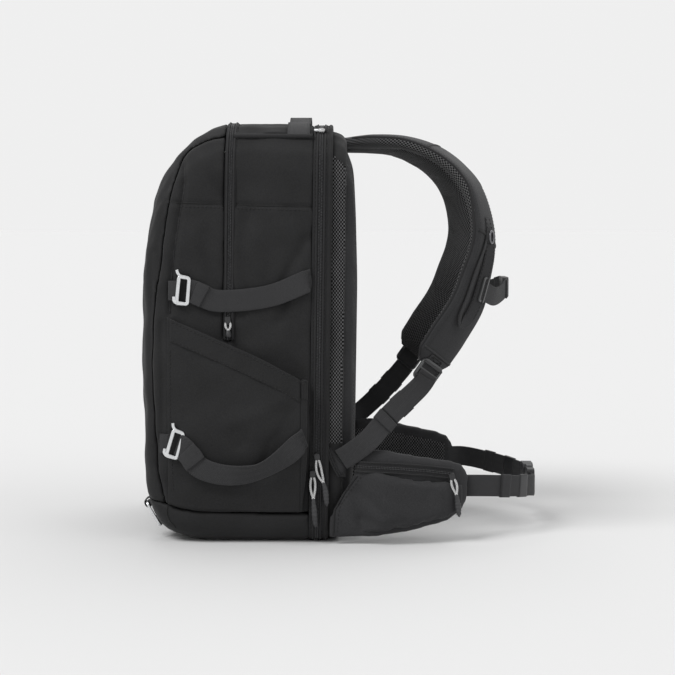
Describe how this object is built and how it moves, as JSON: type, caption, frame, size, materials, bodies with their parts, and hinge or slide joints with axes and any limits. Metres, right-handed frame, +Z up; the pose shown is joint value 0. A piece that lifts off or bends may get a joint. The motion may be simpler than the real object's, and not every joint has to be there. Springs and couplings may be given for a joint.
{
  "type": "camera backpack",
  "caption": "Upright padded camera backpack with a front and a camera compartment, side pockets, gear straps with hooks, shoulder straps and a padded hip belt.",
  "frame": {"origin": "on the underside of the base, under the middle of the bag", "axes": "+Z up, +X towards the wearer's back, +Y towards the wearer's left"},
  "size_m": [0.4674, 0.3676, 0.4901],
  "materials": {
    "fabric": "dark charcoal woven polyester, matt",
    "base_fabric": "coated dark fabric, matt",
    "mesh": "black padded mesh",
    "strap_fabric": "charcoal fabric over foam",
    "webbing": "black woven webbing",
    "zipper": "black zipper tape and coil",
    "plastic": "black moulded plastic",
    "grey_plastic": "light grey glossy plastic",
    "metal": "satin silver metal",
    "pull_cord": "light grey cord with dark grips"
  },
  "bodies": {
    "root": {"front_panel": "fabric", "top_panel": "fabric", "side_panel_right": "fabric", "side_panel_left": "fabric", "base_panel": "base_fabric", "front_zipper": "zipper", "back_zipper": "zipper", "back_panel": "mesh", "back_pad": "mesh", "top_handle": "webbing", "sternum_buckle": "plastic", "waist_buckle_socket": "plastic", "waist_buckle_tongue": "plastic", "front_zip_pull": "pull_cord", "back_zip_pull_upper": "pull_cord", "back_zip_pull_lower": "pull_cord", "top_zip_pull": "metal", "side_pocket_right": "fabric", "side_pocket_left": "fabric", "pocket_gusset_right": "fabric", "pocket_gusset_left": "fabric", "gear_strap_upper_right": "webbing", "gear_strap_upper_left": "webbing", "gear_strap_lower_right": "webbing", "gear_strap_lower_left": "webbing", "gear_hook_upper_right": "metal", "gear_hook_upper_left": "metal", "gear_hook_lower_right": "metal", "gear_hook_lower_left": "metal", "hook_loop_upper_right": "webbing", "hook_loop_upper_left": "webbing", "hook_loop_lower_right": "webbing", "hook_loop_lower_left": "webbing", "shoulder_strap_right": "strap_fabric", "shoulder_strap_left": "strap_fabric", "strap_rail_right": "webbing", "strap_rail_left": "webbing", "strap_ring_right": "metal", "strap_ring_left": "metal", "sternum_webbing_right": "webbing", "sternum_webbing_left": "webbing", "ladder_lock_right": "grey_plastic", "ladder_lock_left": "grey_plastic", "lower_webbing_right": "webbing", "lower_webbing_left": "webbing", "anchor_patch_right": "fabric", "anchor_patch_left": "fabric", "hip_wing_right": "fabric", "hip_wing_left": "fabric", "hip_pocket_right": "fabric", "hip_pocket_left": "fabric", "belt_webbing_right": "webbing", "belt_webbing_left": "webbing", "base_hook_right": "metal", "base_hook_left": "metal", "hip_zip_pull_right": "pull_cord", "hip_zip_pull_left": "pull_cord"}
  },
  "joints": []
}
